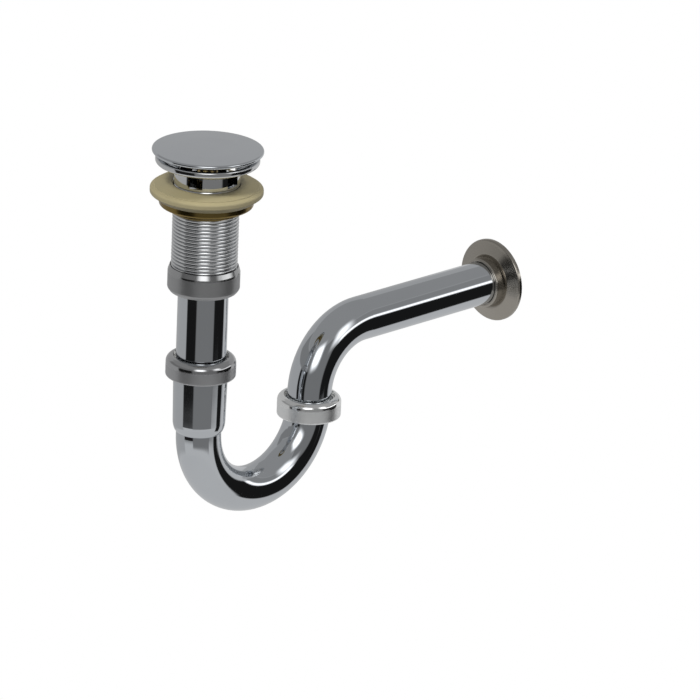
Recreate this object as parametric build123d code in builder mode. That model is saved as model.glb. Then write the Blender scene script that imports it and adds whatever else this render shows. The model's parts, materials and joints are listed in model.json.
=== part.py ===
from build123d import *
import os

os.makedirs("parts", exist_ok=True)

# Driving sizes in millimetres.
# The origin is on the waste's axis at the flange's seat, +Z up, +X towards the wall.

# Clearances
run_gap = 0.35  # radial gap between pieces that turn or slide on each other
fit_gap = 0.1  # radial gap between pieces screwed or pressed together
slip_gap = 0.12  # sliding fit of the inlet tube in the socket
edge_share = 0.45  # rounding of a thin edge, as a share of its thickness

# Push-open plug
cap_diameter = 70.0
cap_edge = 2.4  # thickness at the rim
cap_crown = 0.8  # extra height at the centre
cap_bend_reach = 0.55  # where the crown bends, as a share of the radius
cap_bend_height = 0.8  # its height there, as a share of the crown
cap_travel = 2.5  # how far the plug is pressed to close
cap_closed_gap = 0.4  # gap over the flange with the plug closed
spigot_diameter = 42.0
spigot_wall = 2.0
spigot_height = 3.2
seal_diameter = 52.0
seal_height = 3.6
spindle_diameter = 6.0
boss_wall = 3.5
boss_height = 6.1

# Click cartridge
cartridge_diameter = 13.0
cartridge_wall = 1.3
cartridge_top = 5.0  # below the seat
cartridge_length = 25.0
cartridge_floor = 2.0
gland_head = 2.8
gland_spigot = 4.0
wiper_height = 1.4
wiper_width = 1.2
collar_height = 3.0
rotor_height = 4.6
rotor_core_diameter = 7.2
rotor_fins = 4
rotor_fin_width = 1.6
spring_wire = 0.9
spring_turns = 4

# Waste body
thread_pitch = 2.309  # G 1 1/4
thread_depth = 1.1
thread_root_width = 0.4
thread_groove_width = 1.3
thread_overcut = 0.3  # groove's reach outside the crests
flange_diameter = 65.5
flange_height = 4.2
rim_width = 2.2
seat_inner_diameter = 56.0
neck_drop = 4.3  # seat to the top of the neck
funnel_bend = 0.62  # depth of the funnel's bend, as a share of that drop
rim_round = 0.84
thread_diameter = 41.91  # G 1 1/4
tail_bore = 36.6
tail_length = 77.6
throat_depth = 4.0
dish_step = 1.6
slot_count = 5
slot_angle = 278.5
slot_width = 9.7
slot_height = 6.8
cross_arms = 4
cross_arm_width = 3.2
cross_arm_height = 6.0
cross_boss_diameter = 15.0
cross_boss_height = 10.0
stub_diameter = 8.0
stub_length = 9.0

# Gasket and backnut
clamp_gap = 13.4  # seat to the gasket's inner top edge
gasket_diameter = 71.2
gasket_crown_diameter = 66.0
gasket_cone = 1.0  # fall of the top from bore to crown edge
gasket_step = 0.5  # from the crown's edge down to the lip
gasket_shoulder = 1.1  # fall of the lip to its widest
gasket_lip = 3.2  # height of the lip at its widest
gasket_height = 9.3
gasket_foot_diameter = 62.0
backnut_diameter = 59.4
backnut_height = 4.6
backnut_edge = 1.4
hub_diameter = 48.4
hub_height = 3.0

# Coupling nut and inlet tube
tube_diameter = 32.0
tube_wall = 0.8
tube_length = 78.0
washer_height = 2.0
flare_height = 1.2
flare_diameter = 38.8
ring_height = 1.0
coupling_wall = 1.55  # nut wall outside the thread
coupling_height = 16.6
coupling_bevel = 3.4  # height of the bevel round the nut's top
coupling_shoulder = 2.2

# Slip joint
slip_top = 127.8  # seat to the top of the slip nut
slip_wall = 2.35  # nut wall outside the collar's thread
slip_height = 13.3
slip_roof = 3.0
slip_dome = 4.4  # rounding of the nut's top edge
slip_mouth_gap = 1.7
slip_collar_diameter = 39.2
slip_collar_height = 7.0
collar_lip = 1.4  # wall of the collar at its mouth
slip_washer_height = 5.6
slip_washer_lip = 1.8

# Trap bend
bend_tube_diameter = 28.8
bend_radius = 47.9
bend_start = 181.0  # seat to the start of the bend
socket_wall = 0.55  # at the foot of the socket
socket_taper = 0.6  # extra wall at the socket's mouth
socket_cone = 7.0  # height of the step from socket to tube

# Outlet union and wall tube
outlet_top = 177.0  # seat to the top of the outlet nut
outlet_wall = 2.3  # nut wall outside the collar's thread
outlet_height = 13.6
outlet_roof = 2.2
outlet_dome = 4.0  # rounding of the nut's top edge
outlet_mouth_gap = 2.2
outlet_collar_diameter = 36.0
outlet_collar_height = 7.6
outlet_washer_height = 1.2
bead_inset = 1.2  # bead's edge inside the collar's
bead_height = 1.0
wall_tube_diameter = 28.6
wall_bend_radius = 41.6
wall_bend_rise = 1.0  # start of the bend above the outlet nut
wall_run = 121.0  # end of the bend to the wall
wall_stub = 10.0  # tube behind the wall flange

# Wall flange
cover_diameter = 54.6
cover_sheet = 1.2
cover_rim = 2.4
cover_dome = 5.4  # height of the face at the collar
cover_collar_height = 12.2
cover_collar_wall = 1.6
cover_crease = 0.7

# Worked out from the sizes above
cap_radius = cap_diameter / 2
spigot_radius = spigot_diameter / 2
seal_radius = seal_diameter / 2
spindle_radius = spindle_diameter / 2
flange_radius = flange_diameter / 2
thread_radius = thread_diameter / 2
bore_radius = tail_bore / 2
tube_radius = tube_diameter / 2
bend_tube_radius = bend_tube_diameter / 2
wall_tube_radius = wall_tube_diameter / 2

cap_base = flange_height + cap_travel + cap_closed_gap
boss_base = cap_base - boss_height
cross_top = -cartridge_top - cartridge_length
gasket_base = -clamp_gap - gasket_height
backnut_base = gasket_base - backnut_height
tail_end = -tail_length
flare_top = tail_end - washer_height
flare_base = flare_top - flare_height
coupling_ring_base = flare_base - ring_height
coupling_base = coupling_ring_base - coupling_shoulder
tube_end = flare_top - tube_length
slip_roof_base = -slip_top - slip_roof
slip_ring_base = slip_roof_base - ring_height
slip_collar_top = slip_ring_base - slip_washer_lip
socket_bore = tube_radius + slip_gap
socket_radius = socket_bore + socket_wall
outlet_x = 2 * bend_radius
outlet_ring_top = -outlet_top - outlet_roof
bead_top = outlet_ring_top - ring_height
bead_base = bead_top - bead_height
outlet_collar_top = bead_base - outlet_washer_height
wall_bend_start = -outlet_top + wall_bend_rise
wall_axis_z = wall_bend_start + wall_bend_radius
wall_run_start = outlet_x + wall_bend_radius
wall_x = wall_run_start + wall_run

wall_axis = Axis((0, 0, wall_axis_z), (1, 0, 0))


def turned(points, rounds, axis=Axis.Z):
    """Adds a turned solid: a closed outline of corners, each with its rounding radius."""
    with BuildSketch(Plane.XZ) as section:
        with BuildLine():
            FilletPolyline(*points, radius=rounds, close=True)
        make_face()
    revolve(section.sketch, axis=axis)


def washer(inner_radius, outer_radius, base, height):
    """Adds a flat ring on the waste's axis."""
    with BuildSketch(Plane.XY.offset(base)) as outline:
        Circle(outer_radius)
        Circle(inner_radius, mode=Mode.SUBTRACT)
    extrude(outline.sketch, amount=height)


# Plug cap: a thin crowned disc with a threaded boss and a spigot for the seal
with BuildPart() as plug_cap:
    edge_round = cap_edge * edge_share
    boss_radius = spindle_radius + boss_wall
    turned(
        [
            (0, cap_base + cap_edge + cap_crown),
            (cap_radius * cap_bend_reach, cap_base + cap_edge + cap_crown * cap_bend_height),
            (cap_radius, cap_base + cap_edge),
            (cap_radius, cap_base),
            (spigot_radius, cap_base),
            (spigot_radius, cap_base - spigot_height),
            (spigot_radius - spigot_wall, cap_base - spigot_height),
            (spigot_radius - spigot_wall, cap_base),
            (boss_radius, cap_base),
            (boss_radius, boss_base),
            (0, boss_base),
        ],
        [0, cap_radius * 3, edge_round, edge_round, 0, 0, 0, 0, 0, 0, 0],
    )
    with Locations((0, 0, boss_base)):
        Cylinder(
            spindle_radius + fit_gap / 2,
            boss_height,
            align=(Align.CENTER, Align.CENTER, Align.MIN),
            mode=Mode.SUBTRACT,
        )
plug_cap.part.label = "plug_cap"
export_step(plug_cap.part, "parts/plug_cap.step")

# Cap seal: rubber ring round the spigot, pressed on the dish when the plug closes
with BuildPart() as cap_seal:
    seal_bore = spigot_radius + fit_gap / 2
    turned(
        [
            (seal_bore, cap_base - seal_height),
            (seal_radius, cap_base - seal_height),
            (seal_radius, cap_base),
            (seal_bore, cap_base),
        ],
        [0, seal_height / 4, 0, 0],
    )
cap_seal.part.label = "cap_seal"
export_step(cap_seal.part, "parts/cap_seal.step")

# Click cartridge, from its collar down to the cross of the waste
cartridge_radius = cartridge_diameter / 2
chamber_radius = cartridge_radius - cartridge_wall
gland_base = -cartridge_top - gland_spigot
collar_top = gland_base - run_gap
collar_radius = chamber_radius - run_gap
rotor_top = collar_top - collar_height
rotor_base = rotor_top - rotor_height
chamber_floor = cross_top + cartridge_floor
spindle_top = boss_base + boss_height - fit_gap

with BuildPart() as plug_spindle:
    turned(
        [
            (0, rotor_top),
            (collar_radius, rotor_top),
            (collar_radius, collar_top),
            (spindle_radius, collar_top),
            (spindle_radius, spindle_top),
            (0, spindle_top),
        ],
        [0, 0, 0, 0, 0, 0],
    )
plug_spindle.part.label = "plug_spindle"
export_step(plug_spindle.part, "parts/plug_spindle.step")

# Rotor: a core with guide fins whose tops slope as a ratchet does
with BuildPart() as cam_rotor:
    with BuildSketch(Plane.XY.offset(rotor_base)):
        Circle(rotor_core_diameter / 2)
        with PolarLocations(collar_radius / 2, rotor_fins):
            Rectangle(collar_radius, rotor_fin_width)
    extrude(amount=rotor_height)
    fin_tops = cam_rotor.edges().group_by(Axis.Z)[-1].filter_by(GeomType.LINE)
    outer_fin_tops = fin_tops.sort_by(lambda e: e.center().length)[-rotor_fins:]
    chamfer(outer_fin_tops, rotor_fin_width / 2)
cam_rotor.part.label = "cam_rotor"
export_step(cam_rotor.part, "parts/cam_rotor.step")

with BuildPart() as cartridge_spring:
    spring_radius = chamber_radius - run_gap - spring_wire / 2
    spring_foot = chamber_floor + spring_wire / 2 + fit_gap
    spring_height = rotor_base - spring_wire / 2 - fit_gap - spring_foot
    with BuildLine() as coil:
        Helix(spring_height / spring_turns, spring_height, spring_radius, center=(0, 0, spring_foot))
    with BuildSketch(Plane(origin=coil.line @ 0, z_dir=coil.line % 0)):
        Circle(spring_wire / 2)
    sweep(path=coil.line, is_frenet=True)
cartridge_spring.part.label = "cartridge_spring"
export_step(cartridge_spring.part, "parts/cartridge_spring.step")

with BuildPart() as cartridge_body:
    turned(
        [
            (0, cross_top - stub_length),
            (stub_diameter / 2, cross_top - stub_length),
            (stub_diameter / 2, cross_top),
            (cartridge_radius, cross_top),
            (cartridge_radius, -cartridge_top),
            (chamber_radius, -cartridge_top),
            (chamber_radius, chamber_floor),
            (0, chamber_floor),
        ],
        [0, 0, 0, 0, 0, 0, 0, 0],
    )
cartridge_body.part.label = "cartridge_body"
export_step(cartridge_body.part, "parts/cartridge_body.step")

with BuildPart() as cartridge_gland:
    gland_top = -cartridge_top + gland_head
    gland_bore = spindle_radius + run_gap
    groove_radius = gland_bore + wiper_width + fit_gap / 2
    groove_base = gland_top - wiper_height
    turned(
        [
            (gland_bore, gland_base),
            (chamber_radius - fit_gap, gland_base),
            (chamber_radius - fit_gap, -cartridge_top),
            (cartridge_radius, -cartridge_top),
            (cartridge_radius, gland_top),
            (groove_radius, gland_top),
            (groove_radius, groove_base),
            (gland_bore, groove_base),
        ],
        [0, 0, 0, 0, gland_head / 4, 0, 0, 0],
    )
cartridge_gland.part.label = "cartridge_gland"
export_step(cartridge_gland.part, "parts/cartridge_gland.step")

with BuildPart() as gland_ring:
    washer(gland_bore, gland_bore + wiper_width, groove_base, wiper_height)
gland_ring.part.label = "gland_ring"
export_step(gland_ring.part, "parts/gland_ring.step")

# Waste body: dished flange, slotted neck, tail and inner cross in one casting
with BuildPart() as waste_body:
    dish_radius = flange_radius - rim_width
    slot_top = -neck_drop - fit_gap
    turned(
        [
            (bore_radius, tail_end),
            (thread_radius, tail_end),
            (thread_radius, -neck_drop),
            ((thread_radius + seat_inner_diameter / 2) / 2, -neck_drop * funnel_bend),
            (seat_inner_diameter / 2, 0),
            (flange_radius, 0),
            (flange_radius, flange_height),
            (dish_radius, flange_height),
            (dish_radius - dish_step / 2, flange_height - dish_step),
            (bore_radius, -throat_depth),
        ],
        [0, fit_gap * 6, 0, neck_drop * 2, 0, flange_height * edge_share, rim_round, 0, 0, 0],
    )
    # screw thread of the tail: a V-shaped groove swept along a helix below the slots
    thread_start = slot_top - slot_height - fit_gap
    with BuildLine() as thread_path:
        Helix(
            thread_pitch,
            thread_start - tail_end + thread_pitch,
            thread_radius,
            center=(0, 0, tail_end - thread_pitch / 2),
        )
    groove_plane = Plane(origin=thread_path.line @ 0, x_dir=(1, 0, 0), z_dir=thread_path.line % 0)
    with BuildSketch(groove_plane) as groove:
        with BuildLine():
            Polyline(
                (-thread_depth, -thread_root_width / 2),
                (thread_overcut, -thread_groove_width / 2),
                (thread_overcut, thread_groove_width / 2),
                (-thread_depth, thread_root_width / 2),
                close=True,
            )
        make_face()
    sweep(groove.sketch, path=thread_path.line, is_frenet=True, mode=Mode.SUBTRACT)
    with BuildSketch(Plane.XY.offset(slot_top - slot_height)):
        with PolarLocations(thread_radius, slot_count, start_angle=slot_angle):
            Rectangle(thread_radius - bore_radius + slot_width, slot_width)
    extrude(amount=slot_height, mode=Mode.SUBTRACT)
    arm_start = stub_diameter / 2 + fit_gap
    arm_length = (bore_radius + thread_radius) / 2 - arm_start
    with BuildSketch(Plane.XY.offset(cross_top - (cross_boss_height + cross_arm_height) / 2)):
        with PolarLocations(arm_start + arm_length / 2, cross_arms, start_angle=180 / cross_arms):
            Rectangle(arm_length, cross_arm_width)
    extrude(amount=cross_arm_height)
    with BuildSketch(Plane.XY.offset(cross_top - cross_boss_height)):
        Circle(cross_boss_diameter / 2)
    extrude(amount=cross_boss_height)
    with Locations((0, 0, cross_top)):
        Hole(stub_diameter / 2 + fit_gap, depth=cross_boss_height)
waste_body.part.label = "waste_body"
export_step(waste_body.part, "parts/waste_body.step")

# Seat gasket: coned top with a raised crown, a rounded lip and a tapered foot
with BuildPart() as seat_gasket:
    gasket_bore = thread_radius + run_gap
    crown_radius = gasket_crown_diameter / 2
    crown_z = -clamp_gap - gasket_cone
    lip_z = crown_z - gasket_step
    shoulder_z = lip_z - gasket_shoulder
    lip_base = shoulder_z - gasket_lip
    turned(
        [
            (gasket_bore, gasket_base),
            (gasket_foot_diameter / 2, gasket_base),
            (gasket_diameter / 2, lip_base),
            (gasket_diameter / 2, shoulder_z),
            (crown_radius, lip_z),
            (crown_radius, crown_z),
            (gasket_bore, -clamp_gap),
        ],
        [0, gasket_step, gasket_lip / 3, gasket_lip / 2, gasket_step / 4, gasket_step / 2, 0],
    )
seat_gasket.part.label = "seat_gasket"
export_step(seat_gasket.part, "parts/seat_gasket.step")

with BuildPart() as backnut:
    backnut_bore = thread_radius + run_gap
    turned(
        [
            (backnut_bore, backnut_base - hub_height),
            (hub_diameter / 2, backnut_base - hub_height),
            (hub_diameter / 2, backnut_base),
            (backnut_diameter / 2, backnut_base),
            (backnut_diameter / 2, gasket_base),
            (backnut_bore, gasket_base),
        ],
        [0, hub_height / 4, hub_height / 4, backnut_edge, backnut_edge / 4, 0],
    )
backnut.part.label = "backnut"
export_step(backnut.part, "parts/backnut.step")

# Coupling joint: washer, flared tube, slip ring and nut
with BuildPart() as coupling_washer:
    washer(bore_radius - washer_height, thread_radius - run_gap, flare_top, washer_height)
coupling_washer.part.label = "coupling_washer"
export_step(coupling_washer.part, "parts/coupling_washer.step")

with BuildPart() as inlet_tube:
    turned(
        [
            (tube_radius - tube_wall, tube_end),
            (tube_radius, tube_end),
            (tube_radius, flare_base),
            (flare_diameter / 2, flare_base),
            (flare_diameter / 2, flare_top),
            (tube_radius - tube_wall, flare_top),
        ],
        [0, 0, flare_height, flare_height / 3, flare_height / 3, flare_height * 1.2],
    )
inlet_tube.part.label = "inlet_tube"
export_step(inlet_tube.part, "parts/inlet_tube.step")

with BuildPart() as coupling_ring:
    washer(tube_radius + flare_height + run_gap, thread_radius - run_gap, coupling_ring_base, ring_height)
coupling_ring.part.label = "coupling_ring"
export_step(coupling_ring.part, "parts/coupling_ring.step")

with BuildPart() as coupling_nut:
    coupling_top = coupling_base + coupling_height
    coupling_bore = thread_radius + run_gap
    coupling_radius = coupling_bore + coupling_wall
    lip = coupling_wall / 2
    turned(
        [
            (tube_radius + run_gap, coupling_base),
            (coupling_bore, coupling_base),
            (coupling_radius, coupling_base + coupling_shoulder),
            (coupling_radius, coupling_top - coupling_bevel),
            (coupling_bore + lip / 2, coupling_top),
            (coupling_bore, coupling_top),
            (coupling_bore, coupling_ring_base),
            (tube_radius + run_gap, coupling_ring_base),
        ],
        [0, lip, coupling_shoulder, coupling_bevel, 0, 0, 0, 0],
    )
coupling_nut.part.label = "coupling_nut"
export_step(coupling_nut.part, "parts/coupling_nut.step")

# Slip joint round the inlet tube: tapered washer, friction ring and nut
slip_collar_radius = slip_collar_diameter / 2
mouth_radius = slip_collar_radius - collar_lip
mouth_depth = slip_washer_height - slip_washer_lip
slip_washer_base = slip_collar_top - mouth_depth
slip_washer_bore = tube_radius + slip_gap

with BuildPart() as slip_washer:
    taper_gap = run_gap / 2
    turned(
        [
            (slip_washer_bore, slip_washer_base + taper_gap),
            (socket_radius - taper_gap, slip_washer_base + taper_gap),
            (mouth_radius - run_gap, slip_collar_top),
            (mouth_radius - run_gap, slip_ring_base),
            (slip_washer_bore, slip_ring_base),
        ],
        [0, 0, 0, 0, 0],
    )
slip_washer.part.label = "slip_washer"
export_step(slip_washer.part, "parts/slip_washer.step")

with BuildPart() as slip_ring:
    washer(tube_radius + run_gap, slip_collar_radius - run_gap, slip_ring_base, ring_height)
slip_ring.part.label = "slip_ring"
export_step(slip_ring.part, "parts/slip_ring.step")


def union_nut(axis_x, mouth_r, collar_r, wall, top, roof, dome, height):
    """Adds a round nut with a domed roof, a mouth round the tube and a skirt over the collar."""
    skirt_r = collar_r + run_gap
    outer_r = skirt_r + wall
    turned(
        [
            (axis_x + skirt_r, top - height),
            (axis_x + outer_r, top - height),
            (axis_x + outer_r, top),
            (axis_x + mouth_r, top),
            (axis_x + mouth_r, top - roof),
            (axis_x + skirt_r, top - roof),
        ],
        [0, wall / 2, dome, 0, 0, 0],
        Axis((axis_x, 0, 0), (0, 0, 1)),
    )


with BuildPart() as slip_nut:
    union_nut(
        0,
        tube_radius + slip_mouth_gap,
        slip_collar_radius,
        slip_wall,
        -slip_top,
        slip_roof,
        slip_dome,
        slip_height,
    )
slip_nut.part.label = "slip_nut"
export_step(slip_nut.part, "parts/slip_nut.step")

# Trap bend: belled socket, U of tube and two brazed collars, bored right through
outlet_collar_radius = outlet_collar_diameter / 2
socket_end = -bend_start + socket_cone

with BuildPart() as j_bend:
    with BuildLine(Plane.XZ) as bend_path:
        left_leg = Line((0, socket_end), (0, -bend_start))
        JernArc(left_leg @ 1, left_leg % 1, bend_radius, 180)
    with BuildSketch(Plane.XY.offset(socket_end)):
        Circle(bend_tube_radius)
    sweep(path=bend_path.wires()[0])
    turned(
        [
            (0, -bend_start),
            (bend_tube_radius, -bend_start),
            (socket_radius, socket_end),
            (socket_radius + socket_taper, slip_collar_top - slip_collar_height),
            (slip_collar_radius, slip_collar_top - slip_collar_height),
            (slip_collar_radius, slip_collar_top),
            (0, slip_collar_top),
        ],
        [0, socket_cone, socket_cone * 2, 0, 0, 0, 0],
    )
    with BuildSketch(Plane.XY.offset(outlet_collar_top - outlet_collar_height)):
        with Locations((outlet_x, 0)):
            Circle(outlet_collar_radius)
    extrude(amount=outlet_collar_height)
    with BuildSketch(Plane.XY.offset(socket_end)):
        Circle(bend_tube_radius - tube_wall)
    sweep(path=bend_path.wires()[0], mode=Mode.SUBTRACT)
    # the end of the bend is faced off flush with its collar
    with BuildSketch(Plane.XY.offset(outlet_collar_top)):
        with Locations((outlet_x, 0)):
            Circle(outlet_collar_radius)
    extrude(amount=outlet_collar_height, mode=Mode.SUBTRACT)
    with BuildSketch(Plane.XZ):
        with BuildLine():
            Polyline(
                (0, -bend_start),
                (bend_tube_radius - tube_wall, -bend_start),
                (socket_bore, socket_end),
                (socket_bore, slip_washer_base),
                (socket_radius, slip_washer_base),
                (mouth_radius, slip_collar_top),
                (0, slip_collar_top),
                close=True,
            )
        make_face()
    revolve(axis=Axis.Z, mode=Mode.SUBTRACT)
j_bend.part.label = "j_bend"
export_step(j_bend.part, "parts/j_bend.step")

# Outlet union: flat washer, ring and nut over the wall tube's bead
with BuildPart() as outlet_washer:
    with BuildSketch(Plane.XY.offset(outlet_collar_top)):
        with Locations((outlet_x, 0)):
            Circle(outlet_collar_radius - run_gap)
            Circle(bend_tube_radius - tube_wall, mode=Mode.SUBTRACT)
    extrude(amount=outlet_washer_height)
outlet_washer.part.label = "outlet_washer"
export_step(outlet_washer.part, "parts/outlet_washer.step")

with BuildPart() as outlet_ring:
    with BuildSketch(Plane.XY.offset(bead_top)):
        with Locations((outlet_x, 0)):
            Circle(outlet_collar_radius - run_gap)
            Circle(wall_tube_radius + outlet_mouth_gap / 2, mode=Mode.SUBTRACT)
    extrude(amount=ring_height)
outlet_ring.part.label = "outlet_ring"
export_step(outlet_ring.part, "parts/outlet_ring.step")

with BuildPart() as outlet_nut:
    union_nut(
        outlet_x,
        wall_tube_radius + outlet_mouth_gap,
        outlet_collar_radius,
        outlet_wall,
        -outlet_top,
        outlet_roof,
        outlet_dome,
        outlet_height,
    )
outlet_nut.part.label = "outlet_nut"
export_step(outlet_nut.part, "parts/outlet_nut.step")

# Wall tube: beaded foot, quarter bend and level run through the wall flange
with BuildPart() as wall_tube:
    with BuildLine() as wall_path:
        foot = Line((outlet_x, 0, bead_base), (outlet_x, 0, wall_bend_start))
        elbow = ThreePointArc(
            (outlet_x, 0, wall_bend_start),
            (
                wall_run_start - wall_bend_radius * 0.5**0.5,
                0,
                wall_bend_start + wall_bend_radius * 0.5**0.5,
            ),
            (wall_run_start, 0, wall_axis_z),
        )
        run = Line((wall_run_start, 0, wall_axis_z), (wall_x + wall_stub, 0, wall_axis_z))
    with BuildSketch(Plane.XY.offset(bead_base)):
        with Locations((outlet_x, 0)):
            Circle(wall_tube_radius)
    sweep(path=wall_path.wires()[0])
    with BuildSketch(Plane.XY.offset(bead_base)):
        with Locations((outlet_x, 0)):
            Circle(outlet_collar_radius - bead_inset)
    extrude(amount=bead_height)
    with BuildSketch(Plane.XY.offset(bead_base)):
        with Locations((outlet_x, 0)):
            Circle(wall_tube_radius - tube_wall)
    sweep(path=wall_path.wires()[0], mode=Mode.SUBTRACT)
wall_tube.part.label = "wall_tube"
export_step(wall_tube.part, "parts/wall_tube.step")

# Wall flange: pressed sheet with a turned rim, a domed face and a collar
with BuildPart() as wall_flange:
    cover_radius = cover_diameter / 2
    collar_bore = wall_tube_radius + run_gap
    collar_radius_out = collar_bore + cover_collar_wall
    sheet = cover_sheet
    front = [
        (0, cover_radius),
        (cover_rim, cover_radius),
        (cover_rim + sheet * 0.6, cover_radius - sheet * 2),
        (cover_dome, collar_radius_out + sheet * 1.6),
        (cover_dome - cover_crease, collar_radius_out),
        (cover_collar_height, collar_radius_out),
        (cover_collar_height, collar_bore),
    ]
    back = [
        (cover_dome - cover_crease - sheet, collar_bore),
        (cover_dome - cover_crease - sheet, collar_radius_out + sheet),
        (cover_rim - sheet * 0.4, cover_radius - sheet * 2),
        (cover_rim - sheet * 0.4, cover_radius - sheet),
        (0, cover_radius - sheet),
    ]
    turned(
        [(wall_x - height, wall_axis_z + radius) for height, radius in front + back],
        [0, sheet, sheet, sheet * 2, 0, cover_collar_wall * 0.6, 0, 0, 0, 0, 0, 0],
        wall_axis,
    )
wall_flange.part.label = "wall_flange"
export_step(wall_flange.part, "parts/wall_flange.step")
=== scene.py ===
import json
import math
import bpy
import numpy as np
from mathutils import Matrix, Vector

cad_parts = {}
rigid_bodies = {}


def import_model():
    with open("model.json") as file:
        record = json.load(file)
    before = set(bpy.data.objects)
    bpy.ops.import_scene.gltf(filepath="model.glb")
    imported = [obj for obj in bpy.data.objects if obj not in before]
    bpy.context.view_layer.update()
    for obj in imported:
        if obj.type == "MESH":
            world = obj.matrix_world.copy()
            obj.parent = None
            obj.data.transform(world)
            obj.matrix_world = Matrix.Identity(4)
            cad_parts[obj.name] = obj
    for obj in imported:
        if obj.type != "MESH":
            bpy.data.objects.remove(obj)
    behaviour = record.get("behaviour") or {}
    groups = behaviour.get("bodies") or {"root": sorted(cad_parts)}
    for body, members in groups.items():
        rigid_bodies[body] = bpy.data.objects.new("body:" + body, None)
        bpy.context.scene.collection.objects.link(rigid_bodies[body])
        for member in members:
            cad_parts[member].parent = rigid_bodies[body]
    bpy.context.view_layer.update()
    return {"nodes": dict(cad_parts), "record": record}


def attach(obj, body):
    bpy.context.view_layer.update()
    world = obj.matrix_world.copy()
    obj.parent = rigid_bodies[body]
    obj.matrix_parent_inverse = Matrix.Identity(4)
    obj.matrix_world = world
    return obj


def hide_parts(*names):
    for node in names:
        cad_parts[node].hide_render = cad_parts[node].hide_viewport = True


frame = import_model()
nodes = frame["nodes"]
mm = 0.001
smoothAll = 180
print("frame loaded:", len(nodes), "nodes")


# Mesh helpers

def around(radius, height, turn):
    # points round Z: x = r cos t, y = r sin t, z = h
    return np.stack([radius * np.cos(turn), radius * np.sin(turn), height + 0 * turn], -1)


def fullTurn(segments):
    return np.arange(segments) * 2 * np.pi / segments


def shellFaces(rows, columns, closedRows):
    # quads of a grid that closes round its columns, and round its rows too where the outline is closed
    lastRow = rows if closedRows else rows - 1
    i, j = np.meshgrid(np.arange(lastRow), np.arange(columns), indexing="ij")
    i2, j2 = (i + 1) % rows, (j + 1) % columns
    corners = [i * columns + j, i2 * columns + j, i2 * columns + j2, i * columns + j2]
    return np.stack(corners, -1).reshape(-1, 4)


def helixFaces(heights, perPitch):
    # quads of a grid that climbs one pitch a turn, so that its last column meets its first a pitch higher up,
    # without those that lie flat on one of its ends
    rows, columns = heights.shape
    i, j = np.meshgrid(np.arange(rows - 1), np.arange(columns), indexing="ij")
    j2 = (j + 1) % columns
    i2 = i + np.where(j2 == 0, perPitch, 0)
    kept = i2 + 1 < rows
    here, ahead = (i * columns + j)[kept], (i2 * columns + j2)[kept]
    quads = np.stack([here, ahead, ahead + columns, here + columns], -1)
    return quads[np.ptp(heights.ravel()[quads], axis=1) > 0]


def meshPiece(name, points, quads, sharpAngle):
    # a mesh at the origin, smooth except at edges sharper than the angle
    mesh = bpy.data.meshes.new(name)
    mesh.vertices.add(len(points))
    mesh.vertices.foreach_set("co", np.asarray(points, np.float32).ravel())
    mesh.loops.add(quads.size)
    mesh.loops.foreach_set("vertex_index", quads.astype(np.int32).ravel())
    mesh.polygons.add(len(quads))
    mesh.polygons.foreach_set("loop_start", np.arange(0, quads.size, 4, dtype=np.int32))
    mesh.update(calc_edges=True)
    mesh.validate()
    mesh.shade_smooth()
    mesh.set_sharp_from_angle(angle=math.radians(sharpAngle))
    piece = bpy.data.objects.new(name, mesh)
    bpy.context.scene.collection.objects.link(piece)
    return piece


def joinShells(shells):
    # several grids of (points, quads) numbered on from each other as one mesh
    starts = np.cumsum([0] + [len(points) for points, quads in shells[:-1]])
    numbered = [quads + start for (points, quads), start in zip(shells, starts)]
    return np.concatenate([points for points, quads in shells]), np.concatenate(numbered)


def ringShell(outline, segments):
    # a closed (radius, height) outline turned once round Z
    outline = np.asarray(outline, float)
    points = around(outline[:, :1], outline[:, 1:], fullTurn(segments))
    return points.reshape(-1, 3), shellFaces(len(outline), segments, True)


def roundedCorner(before, corner, after, radius, steps=6):
    # a fillet: the arc of that radius that touches both legs of the corner
    a, b, c = (np.array(p, float) for p in (before, corner, after))
    u, v = (a - b) / np.linalg.norm(a - b), (c - b) / np.linalg.norm(c - b)
    half = math.acos(np.clip(u @ v, -1, 1)) / 2
    bisector = (u + v) / np.linalg.norm(u + v)
    centre = b + bisector * radius / math.sin(half)
    first, last = (b + w * radius / math.tan(half) - centre for w in (u, v))
    sweep = math.atan2(first[0] * last[1] - first[1] * last[0], first @ last)
    t = np.linspace(0, sweep, steps)
    x = first[0] * np.cos(t) - first[1] * np.sin(t)
    y = first[0] * np.sin(t) + first[1] * np.cos(t)
    return centre + np.stack([x, y], -1)


def blockShell(corners):
    # a six-sided block from eight corners: four below, then four above, both turning the same way
    quads = np.array([[0, 3, 2, 1], [4, 5, 6, 7], [0, 1, 5, 4], [1, 2, 6, 5], [2, 3, 7, 6], [3, 0, 4, 7]])
    return np.asarray(corners, float), quads


# Waste body: dished flange, slotted neck, threaded tail and inner cross
# threadProfile pairs a share of the pitch, from crest to crest, with a share of the thread's depth

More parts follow.
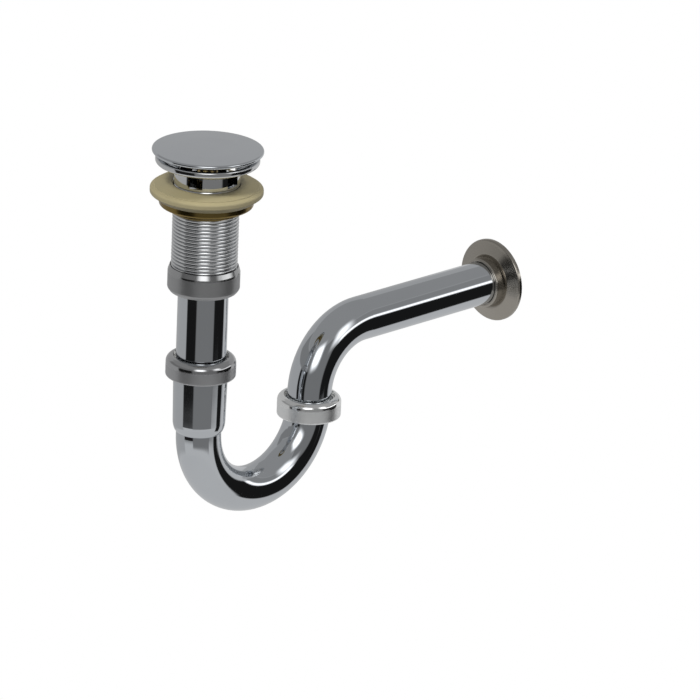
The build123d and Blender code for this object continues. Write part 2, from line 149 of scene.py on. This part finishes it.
waste = {
    "flangeRadius": 32.75 * mm, "flangeHeight": 4.2 * mm, "rimWidth": 2.2 * mm, "rimRound": 0.84 * mm,
    "edgeRound": 1.89 * mm, "seatInner": 28.0 * mm, "neckDrop": 4.3 * mm, "funnelBend": 0.62,
    "funnelRound": 1.2, "bore": 18.3 * mm, "throat": 4.0 * mm, "dishStep": 1.6 * mm,
    "threadRadius": 20.955 * mm, "pitch": 2.309 * mm, "threadDepth": 1.1 * mm, "threadTop": -12.4 * mm,
    "tailEnd": -77.6 * mm, "runOut": 2.0 * mm, "endFade": 0.4,
    "threadProfile": [(0.0, 0.0), (0.07, 0.012), (0.14, 0.046), (0.21, 0.11), (0.28, 0.2), (0.42, 1.0),
                      (0.58, 1.0), (0.72, 0.2), (0.79, 0.11), (0.86, 0.046), (0.93, 0.012)],
    "slots": 5, "slotAngle": 278.5, "slotWidth": 9.7 * mm, "slotTop": -4.4 * mm, "slotHeight": 6.8 * mm,
    "arms": 4, "armWidth": 3.2 * mm, "armLow": -38.0 * mm, "armHigh": -32.0 * mm,
    "bossRadius": 7.5 * mm, "bossHole": 4.1 * mm, "bossLow": -40.0 * mm, "bossHigh": -30.0 * mm,
    "overlap": 0.2 * mm, "segments": 240, "panelColumns": 24, "bossSegments": 80, "sharpAngle": 35,
}


def flangeShell(w):
    # outline: dish, rim, rounded edge, flat seat, bent funnel, closed by the neck's top
    rimTop, dish = w["flangeHeight"], w["flangeRadius"] - w["rimWidth"]
    bend = ((w["threadRadius"] + w["seatInner"]) / 2, -w["neckDrop"] * w["funnelBend"])
    corners = [(dish, rimTop), (w["flangeRadius"], rimTop), (w["flangeRadius"], 0.0), (w["seatInner"], 0.0)]
    topEdge = roundedCorner(corners[0], corners[1], corners[2], w["rimRound"])
    lowEdge = roundedCorner(corners[1], corners[2], corners[3], w["edgeRound"])
    neckTop = (w["threadRadius"], -w["neckDrop"])
    funnel = roundedCorner(corners[3], bend, neckTop, w["neckDrop"] * w["funnelRound"])
    outline = np.concatenate([
        [(w["bore"], -w["throat"]), (dish - w["dishStep"] / 2, rimTop - w["dishStep"]), corners[0]],
        topEdge, lowEdge, [corners[3]], funnel,
        [neckTop, (w["threadRadius"], w["slotTop"]), (w["bore"], w["slotTop"])],
    ])
    return ringShell(outline, w["segments"])


def neckShells(w):
    # curved panels between the slots: the slot's half angle is asin(half width / radius) on each wall
    low, high = w["slotTop"] - w["slotHeight"] - w["overlap"], w["slotTop"] + w["overlap"]
    step, columns = 2 * np.pi / w["slots"], w["panelColumns"]
    radius = np.array([w["threadRadius"], w["threadRadius"], w["bore"], w["bore"]])
    height = np.array([low, high, high, low])
    reach = np.array([step / 2 - math.asin(w["slotWidth"] / 2 / r) for r in radius])
    t = np.linspace(-1, 1, columns)[:, None]
    i, j = np.meshgrid(np.arange(columns - 1) * 4, np.arange(4), indexing="ij")
    j2 = (j + 1) % 4
    sides = np.stack([i + j, i + 4 + j, i + 4 + j2, i + j2], -1).reshape(-1, 4)
    ends = np.array([[0, 1, 2, 3], [3, 2, 1, 0] + np.full(4, (columns - 1) * 4)])
    quads = np.concatenate([sides, ends])
    middles = [math.radians(w["slotAngle"]) + (k + 0.5) * step for k in range(w["slots"])]
    return [(around(radius, height, middle + t * reach).reshape(-1, 3), quads) for middle in middles]


def tailShell(w):
    # screw thread: rows follow the helix, z = end + pitch (rise + t / 2 pi - 1) held between end and top,
    # and r = R - depth * fade * profile(phase): rounded crests and flat roots, faded out at both ends
    top, end, turn = w["slotTop"] - w["slotHeight"], w["tailEnd"], fullTurn(w["segments"])
    share, drop = np.array(w["threadProfile"]).T
    pitches = math.ceil((top - end) / w["pitch"]) + 1
    rise = np.append((np.arange(pitches)[:, None] + share).ravel(), pitches)[:, None]
    z = np.clip(end + w["pitch"] * (rise + turn / (2 * np.pi) - 1), end, top)
    phase = ((z - end) / w["pitch"] - turn / (2 * np.pi)) % 1
    groove = np.interp(phase, [*share, 1.0], [*drop, 0.0])
    topFade = np.clip((w["threadTop"] - z) / w["runOut"], 0, 1)
    fade = topFade * np.clip((z - end) / w["runOut"] + w["endFade"], 0, 1)
    outer = around(w["threadRadius"] - w["threadDepth"] * fade * groove, z, turn)
    rings = [outer[-1], around(w["bore"], top, turn), around(w["bore"], end, turn), outer[0]]
    ends = shellFaces(len(rings), w["segments"], False)[:, ::-1]
    return joinShells([(outer.reshape(-1, 3), helixFaces(z, len(share))), (np.concatenate(rings), ends)])


def crossShells(w):
    # a bored boss on the axis, held by straight arms that end inside the tail's wall
    boss = [(w["bossHole"], w["bossHigh"]), (w["bossRadius"], w["bossHigh"]),
            (w["bossRadius"], w["bossLow"]), (w["bossHole"], w["bossLow"])]
    shells = [ringShell(boss, w["bossSegments"])]
    near = w["bossHole"] + w["overlap"]
    far = (w["bore"] + w["threadRadius"]) / 2 - w["threadDepth"] / 2
    for k in range(w["arms"]):
        a = (k + 0.5) * 2 * np.pi / w["arms"]
        along = np.array([np.cos(a), np.sin(a)])
        across = np.array([-np.sin(a), np.cos(a)]) * w["armWidth"] / 2
        foot = [along * near - across, along * far - across, along * far + across, along * near + across]
        shells.append(blockShell([(*p, z) for z in (w["armLow"], w["armHigh"]) for p in foot]))
    return shells


wastePoints, wasteQuads = joinShells(
    [flangeShell(waste), *neckShells(waste), tailShell(waste), *crossShells(waste)])
wastePiece = meshPiece("threadedWaste", wastePoints, wasteQuads, waste["sharpAngle"])
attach(wastePiece, "waste")
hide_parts("waste_body")
print("waste body:", len(wasteQuads), "quads")


# Finishes

def newGroup(name, inputs, outputs):
    group = bpy.data.node_groups.new(name, "ShaderNodeTree")
    for label, kind, value in inputs:
        socket = group.interface.new_socket(label, in_out="INPUT", socket_type=kind)
        socket.default_value = value
    for label, kind in outputs:
        group.interface.new_socket(label, in_out="OUTPUT", socket_type=kind)
    return group, group.nodes.new("NodeGroupInput"), group.nodes.new("NodeGroupOutput")


def link(tree, source, target):
    tree.links.new(source, target)


def mathNode(tree, operation, kind="ShaderNodeMath"):
    node = tree.nodes.new(kind)
    node.operation = operation
    return node


polishMarks = {"smudgeDetail": 3, "markDetail": 2, "markStretch": (1.0, 1.0, 0.15)}


def polishGroup(p):
    # broad smudges from soft noise and fine wiping marks from stretched noise: colour, roughness and height
    group, inn, out = newGroup(
        "polishedSurface",
        [("Tint", "NodeSocketColor", (0.6, 0.6, 0.6, 1)), ("Smudge Scale", "NodeSocketFloat", 40.0),
         ("Smudge Amount", "NodeSocketFloat", 0.08), ("Roughness", "NodeSocketFloat", 0.06),
         ("Roughness Spread", "NodeSocketFloat", 0.05), ("Mark Scale", "NodeSocketFloat", 900.0)],
        [("Color", "NodeSocketColor"), ("Roughness", "NodeSocketFloat"), ("Height", "NodeSocketFloat")])
    coord = group.nodes.new("ShaderNodeTexCoord")
    smudge = group.nodes.new("ShaderNodeTexNoise")
    smudge.inputs["Detail"].default_value = p["smudgeDetail"]
    link(group, coord.outputs["Object"], smudge.inputs["Vector"])
    link(group, inn.outputs["Smudge Scale"], smudge.inputs["Scale"])
    stretch = group.nodes.new("ShaderNodeMapping")
    stretch.inputs["Scale"].default_value = p["markStretch"]
    link(group, coord.outputs["Object"], stretch.inputs["Vector"])
    marks = group.nodes.new("ShaderNodeTexNoise")
    marks.inputs["Detail"].default_value = p["markDetail"]
    link(group, stretch.outputs["Vector"], marks.inputs["Vector"])
    link(group, inn.outputs["Mark Scale"], marks.inputs["Scale"])
    # tint times 1 + amount * (noise - 1/2)
    lower = mathNode(group, "MULTIPLY_ADD")
    link(group, inn.outputs["Smudge Amount"], lower.inputs[0])
    lower.inputs[1].default_value = -0.5
    lower.inputs[2].default_value = 1.0
    shade = mathNode(group, "MULTIPLY_ADD")
    link(group, smudge.outputs["Fac"], shade.inputs[0])
    link(group, inn.outputs["Smudge Amount"], shade.inputs[1])
    link(group, lower.outputs[0], shade.inputs[2])
    tint = mathNode(group, "SCALE", "ShaderNodeVectorMath")
    link(group, inn.outputs["Tint"], tint.inputs[0])
    link(group, shade.outputs[0], tint.inputs["Scale"])
    # roughness plus spread * noise
    rough = mathNode(group, "MULTIPLY_ADD")
    link(group, smudge.outputs["Fac"], rough.inputs[0])
    link(group, inn.outputs["Roughness Spread"], rough.inputs[1])
    link(group, inn.outputs["Roughness"], rough.inputs[2])
    link(group, tint.outputs["Vector"], out.inputs["Color"])
    link(group, rough.outputs[0], out.inputs["Roughness"])
    link(group, marks.outputs["Fac"], out.inputs["Height"])
    return group


polish = polishGroup(polishMarks)


def rougherBelow(tree, rough, height, extra):
    # roughness grows by the extra amount below that height of the object, over one millimetre
    coord, split = tree.nodes.new("ShaderNodeTexCoord"), tree.nodes.new("ShaderNodeSeparateXYZ")
    link(tree, coord.outputs["Object"], split.inputs[0])
    ramp = tree.nodes.new("ShaderNodeMapRange")
    limits = {"From Min": height - mm, "From Max": height, "To Min": extra, "To Max": 0.0}
    for label, value in limits.items():
        ramp.inputs[label].default_value = value
    link(tree, split.outputs["Z"], ramp.inputs["Value"])
    total = mathNode(tree, "ADD")
    link(tree, rough, total.inputs[0])
    link(tree, ramp.outputs["Result"], total.inputs[1])
    return total.outputs[0]


def finish(name, look):
    # one Principled shader fed by the polish group, with a faint bump of the wiping marks
    material = bpy.data.materials.new(name)
    material.use_nodes = True
    tree = material.node_tree
    shader = tree.nodes["Principled BSDF"]
    shader.inputs["Metallic"].default_value = look["metallic"]
    use = tree.nodes.new("ShaderNodeGroup")
    use.node_tree = polish
    settings = {
        "Tint": (*look["color"], 1), "Smudge Scale": look["smudgeScale"], "Smudge Amount": look["smudge"],
        "Roughness": look["roughness"], "Roughness Spread": look["spread"], "Mark Scale": look["markScale"],
    }
    for label, value in settings.items():
        use.inputs[label].default_value = value
    link(tree, use.outputs["Color"], shader.inputs["Base Color"])
    rough = use.outputs["Roughness"]
    if "roughBelow" in look:
        rough = rougherBelow(tree, rough, *look["roughBelow"])
    link(tree, rough, shader.inputs["Roughness"])
    bump = tree.nodes.new("ShaderNodeBump")
    bump.inputs["Strength"].default_value = look["bump"]
    bump.inputs["Distance"].default_value = look["bumpDepth"]
    link(tree, use.outputs["Height"], bump.inputs["Height"])
    link(tree, bump.outputs["Normal"], shader.inputs["Normal"])
    return material


looks = {
    "chromePlate": {
        "color": (0.615, 0.64, 0.67), "metallic": 1.0, "roughness": 0.03, "spread": 0.04, "smudge": 0.06,
        "smudgeScale": 35.0, "markScale": 700.0, "bump": 0.02, "bumpDepth": 0.1 * mm,
    },
    # a lighter, less blue copy of chromePlate: painted brightness that strengthens the thread's highlight
    # bands
    "threadPlate": {
        "color": (0.66, 0.67, 0.68), "metallic": 1.0, "roughness": 0.03, "spread": 0.04, "smudge": 0.06,
        "smudgeScale": 35.0, "markScale": 700.0, "bump": 0.02, "bumpDepth": 0.1 * mm,
        "roughBelow": (waste["threadTop"], 0.10),
    },
    "coverSteel": {
        "color": (0.395, 0.37, 0.33), "metallic": 1.0, "roughness": 0.17, "spread": 0.05, "smudge": 0.14,
        "smudgeScale": 50.0, "markScale": 900.0, "bump": 0.004, "bumpDepth": 0.1 * mm,
    },
    "gasketRubber": {
        "color": (0.215, 0.187, 0.105), "metallic": 0.0, "roughness": 0.48, "spread": 0.15, "smudge": 0.12,
        "smudgeScale": 90.0, "markScale": 2500.0, "bump": 0.08, "bumpDepth": 0.2 * mm,
    },
    "rawBrass": {
        "color": (0.24, 0.17, 0.055), "metallic": 1.0, "roughness": 0.17, "spread": 0.10, "smudge": 0.25,
        "smudgeScale": 120.0, "markScale": 1500.0, "bump": 0.06, "bumpDepth": 0.2 * mm,
    },
    "turnedBrass": {
        "color": (0.72, 0.56, 0.28), "metallic": 1.0, "roughness": 0.22, "spread": 0.10, "smudge": 0.15,
        "smudgeScale": 150.0, "markScale": 1500.0, "bump": 0.10, "bumpDepth": 0.1 * mm,
    },
    "sealRubber": {
        "color": (0.03, 0.03, 0.03), "metallic": 0.0, "roughness": 0.50, "spread": 0.15, "smudge": 0.20,
        "smudgeScale": 150.0, "markScale": 2500.0, "bump": 0.10, "bumpDepth": 0.2 * mm,
    },
    "ringPlastic": {
        "color": (0.78, 0.78, 0.75), "metallic": 0.0, "roughness": 0.40, "spread": 0.10, "smudge": 0.05,
        "smudgeScale": 150.0, "markScale": 2000.0, "bump": 0.05, "bumpDepth": 0.1 * mm,
    },
    "springWire": {
        "color": (0.50, 0.50, 0.50), "metallic": 1.0, "roughness": 0.25, "spread": 0.10, "smudge": 0.15,
        "smudgeScale": 200.0, "markScale": 2000.0, "bump": 0.05, "bumpDepth": 0.1 * mm,
    },
}
finishes = {name: finish(name, look) for name, look in looks.items()}

slotFinish = {
    "chrome": "chromePlate", "cover_steel": "coverSteel", "gasket_rubber": "gasketRubber",
    "raw_brass": "rawBrass", "brass": "turnedBrass", "seal_rubber": "sealRubber",
    "white_plastic": "ringPlastic", "spring_steel": "springWire",
}

# the nuts share one plating, painted lighter or darker per nut as painted shade for how light falls on each;
# each one's straight side is duller than its rounded top

nutLook = {
    "metallic": 1.0, "roughness": 0.10, "spread": 0.07, "smudge": 0.10,
    "smudgeScale": 60.0, "markScale": 700.0, "bump": 0.003, "bumpDepth": 0.1 * mm,
}
nuts = {
    "coupling_nut": {
        "name": "couplingPlate", "color": (0.41, 0.415, 0.42), "topHeight": 3.4 * mm, "duller": 0.26,
    },
    "slip_nut": {
        "name": "slipPlate", "color": (0.48, 0.485, 0.495), "topHeight": 4.4 * mm, "duller": 0.26,
    },
    "outlet_nut": {
        "name": "outletPlate", "color": (0.90, 0.91, 0.91), "topHeight": 4.0 * mm, "duller": 0.24,
    },
}


def nutFinish(piece, nut):
    top = max(v.co.z for v in piece.data.vertices)
    sideTop = top - nut["topHeight"]
    return finish(nut["name"], {**nutLook, "color": nut["color"], "roughBelow": (sideTop, nut["duller"])})


def dress(piece, material):
    piece.data.materials.clear()
    piece.data.materials.append(material)


for part in frame["record"]["subparts"]:
    piece = nodes[part["node"]]
    if part["node"] in nuts:
        dress(piece, nutFinish(piece, nuts[part["node"]]))
    else:
        dress(piece, finishes[slotFinish[part["material_slot"]]])
dress(wastePiece, finishes["threadPlate"])


# Camera, from the photograph's angle

shot = {
    "azimuth": -44.27, "elevation": 20.636, "roll": 2.443, "distance": 4.0, "clipEnd": 50.0,
    "target": Vector((0.13047, 0.0, -0.15467)), "focalPixels": 6206.5, "imagePixels": 700, "sensor": 36.0,
}


def placeCamera(s):
    # returns the direction from the target back to the camera
    a, e, roll = (math.radians(s[k]) for k in ("azimuth", "elevation", "roll"))
    back = Vector((math.sin(a) * math.cos(e), -math.cos(a) * math.cos(e), math.sin(e)))
    right = Vector((math.cos(a), math.sin(a), 0))
    up = back.cross(right)
    tilted = right * math.cos(roll) + up * math.sin(roll)
    upright = up * math.cos(roll) - right * math.sin(roll)
    camera = bpy.data.objects.new("camera", bpy.data.cameras.new("camera"))
    bpy.context.scene.collection.objects.link(camera)
    turn = Matrix((tilted, upright, back)).transposed().to_4x4()
    camera.matrix_world = Matrix.Translation(s["target"] + back * s["distance"]) @ turn
    camera.data.sensor_width = s["sensor"]
    camera.data.lens = s["focalPixels"] / s["imagePixels"] * s["sensor"]
    camera.data.clip_end = s["clipEnd"]
    bpy.context.scene.camera = camera
    return back


toCamera = placeCamera(shot)
cameraTurn = math.atan2(toCamera.y, toCamera.x)
print("camera at azimuth", shot["azimuth"], "elevation", shot["elevation"])


# Studio: pale floor, white surround and a soft dome of grey and black fields that only reflections see
# a field is (azimuth from, to, elevation from, to, width of its soft edge) in degrees, then its level

studio = {
    "centre": Vector((0.12, 0.0, -0.12)), "domeDistance": 1.2, "domeStep": 1.0, "poleLimit": 89.9,
    "baseLevel": 0.62,
    "floorHeight": -1.4, "floorSide": 9.0, "floorTint": (0.85, 0.85, 0.85), "floorRoughness": 0.9,
    "fillTint": (0.55, 0.55, 0.56), "whiteTint": (1.0, 1.0, 1.0),
    "fields": {
        "lower": (-180, 180, -90, -36, 6.0, 0.60), "leftSide": (-180, -70, -34, 12, 6.0, 0.47),
        "overhead": (-180, 180, 34, 90, 5.0, 0.34), "backCard": (120, 180, 9, 34, 4.0, 0.45),
        "backCardLeft": (-180, -120, 9, 34, 4.0, 0.45),
        "sideRight": (48, 120, 14, 34, 3.0, 0.30), "sideLeft": (-120, -24, 12, 34, 3.0, 0.26),
        "frontCard": (-28, 50, -29, 34, 4.0, 0.23), "flagLeft": (-70, -27, -24.5, 12, 5.0, 0.012),
        "flagRight": (49, 112, -24.5, 8, 6.0, 0.012), "flagWall": (78, 104, -42, 8, 4.0, 0.012),
        "lightStrip": (56, 112, 8, 15, 5.5, 1.9), "starStrip": (-18, 10, 14, 38, 17.0, 2.8),
        "threadStrip": (42, 64, 16, 40, 17.0, 1.9),
    },
}


def domeLevels(a, e, fields, base):
    # each field in turn pulls the level to its own, by the product of smooth steps 3 t^2 - 2 t^3, one a side;
    # a side that lies on the sphere's own edge has none
    level = np.full(a.shape, base)
    for az0, az1, el0, el1, soft, own in fields.values():
        sides = [(a - az0, az0 > -180), (az1 - a, az1 < 180), (e - el0, el0 > -90), (el1 - e, el1 < 90)]
        inside = np.ones(a.shape)
        for distance, hasStep in sides:
            if hasStep:
                t = np.clip(distance / soft + 0.5, 0, 1)
                inside = inside * (t * t * (3 - 2 * t))
        level = level + (own - level) * inside
    return level


def reflectionDome(s):
    # a sphere round the object, azimuth from the camera's side and positive to the right, one level a vertex
    rows, columns = int(180 / s["domeStep"]) + 1, int(360 / s["domeStep"])
    azimuths = -180 + np.arange(columns) * s["domeStep"]
    e, a = np.meshgrid(np.linspace(-90, 90, rows), azimuths, indexing="ij")
    lift = np.radians(np.clip(e, -s["poleLimit"], s["poleLimit"]))
    sphere = around(np.cos(lift), np.sin(lift), np.radians(a) + cameraTurn).reshape(-1, 3)
    points = sphere * s["domeDistance"] + np.array(s["centre"])
    piece = meshPiece("reflectionDome", points, shellFaces(rows, columns, False), smoothAll)
    level = piece.data.attributes.new("level", "FLOAT", "POINT")
    levels = domeLevels(a, e, s["fields"], s["baseLevel"])
    level.data.foreach_set("value", levels.astype(np.float32).ravel())
    return piece


def glowMaterial(name):
    # plain emission at each vertex's own level
    material = bpy.data.materials.new(name)
    material.use_nodes = True
    tree = material.node_tree
    tree.nodes.clear()
    level = tree.nodes.new("ShaderNodeAttribute")
    level.attribute_name = "level"
    glow = tree.nodes.new("ShaderNodeEmission")
    link(tree, level.outputs["Fac"], glow.inputs["Strength"])
    link(tree, glow.outputs["Emission"], tree.nodes.new("ShaderNodeOutputMaterial").inputs["Surface"])
    return material


dome = reflectionDome(studio)
dress(dome, glowMaterial("domeGlow"))
dome.visible_camera = False
dome.visible_diffuse = False
dome.visible_shadow = False


def splitBySight(tree, unseen, seen, surface):
    # the seen shader where a camera, glossy or transmission ray looks, and the unseen one for all other light
    path = tree.nodes.new("ShaderNodeLightPath")
    first, both = mathNode(tree, "MAXIMUM"), mathNode(tree, "MAXIMUM")
    link(tree, path.outputs["Is Camera Ray"], first.inputs[0])
    link(tree, path.outputs["Is Glossy Ray"], first.inputs[1])
    link(tree, first.outputs[0], both.inputs[0])
    link(tree, path.outputs["Is Transmission Ray"], both.inputs[1])
    mix = tree.nodes.new("ShaderNodeMixShader")
    link(tree, both.outputs[0], mix.inputs["Fac"])
    link(tree, unseen, mix.inputs[1])
    link(tree, seen, mix.inputs[2])
    link(tree, mix.outputs["Shader"], surface)


def floorMaterial(s):
    # matte and pale for the light it throws back, plain white where it is looked at
    material = bpy.data.materials.new("paleFloor")
    material.use_nodes = True
    tree = material.node_tree
    matte = tree.nodes["Principled BSDF"]
    matte.inputs["Base Color"].default_value = (*s["floorTint"], 1)
    matte.inputs["Roughness"].default_value = s["floorRoughness"]
    glow = tree.nodes.new("ShaderNodeEmission")
    glow.inputs["Color"].default_value = (*s["whiteTint"], 1)
    surface = tree.nodes["Material Output"].inputs["Surface"]
    splitBySight(tree, matte.outputs["BSDF"], glow.outputs["Emission"], surface)
    return material


def whiteSurround(s):
    # soft grey light from all round, plain white where it is looked at
    world = bpy.data.worlds.new("studio")
    world.use_nodes = True
    tree = world.node_tree
    tree.nodes.clear()
    fill, white = tree.nodes.new("ShaderNodeBackground"), tree.nodes.new("ShaderNodeBackground")
    fill.inputs["Color"].default_value = (*s["fillTint"], 1)
    white.inputs["Color"].default_value = (*s["whiteTint"], 1)
    surface = tree.nodes.new("ShaderNodeOutputWorld").inputs["Surface"]
    splitBySight(tree, fill.outputs["Background"], white.outputs["Background"], surface)
    return world


corners = np.array([[-1, -1], [1, -1], [1, 1], [-1, 1]]) * studio["floorSide"]
floorPoints = [(x, y, studio["floorHeight"]) for x, y in corners]
floor = meshPiece("floor", floorPoints, np.array([[0, 1, 2, 3]]), smoothAll)
dress(floor, floorMaterial(studio))
bpy.context.scene.world = whiteSurround(studio)

lamps = {
    "keyBox": {"azimuth": -38, "elevation": 48, "distance": 1.0, "size": 0.22, "watts": 9.0},
    "topBox": {"azimuth": 60, "elevation": 62, "distance": 1.1, "size": 0.30, "watts": 7.0},
}
for name, spec in lamps.items():
    a, e = cameraTurn + math.radians(spec["azimuth"]), math.radians(spec["elevation"])
    away = Vector((math.cos(e) * math.cos(a), math.cos(e) * math.sin(a), math.sin(e)))
    lamp = bpy.data.objects.new(name, bpy.data.lights.new(name, "AREA"))
    bpy.context.scene.collection.objects.link(lamp)
    lamp.data.size = spec["size"]
    lamp.data.energy = spec["watts"]
    lamp.visible_glossy = False
    lamp.location = studio["centre"] + away * spec["distance"]
    lamp.rotation_mode = "QUATERNION"
    lamp.rotation_quaternion = (-away).to_track_quat("-Z", "Y")
print("studio:", len(studio["fields"]), "fields on the dome,", len(lamps), "lamps")

bpy.context.scene.view_settings.view_transform = "Standard"
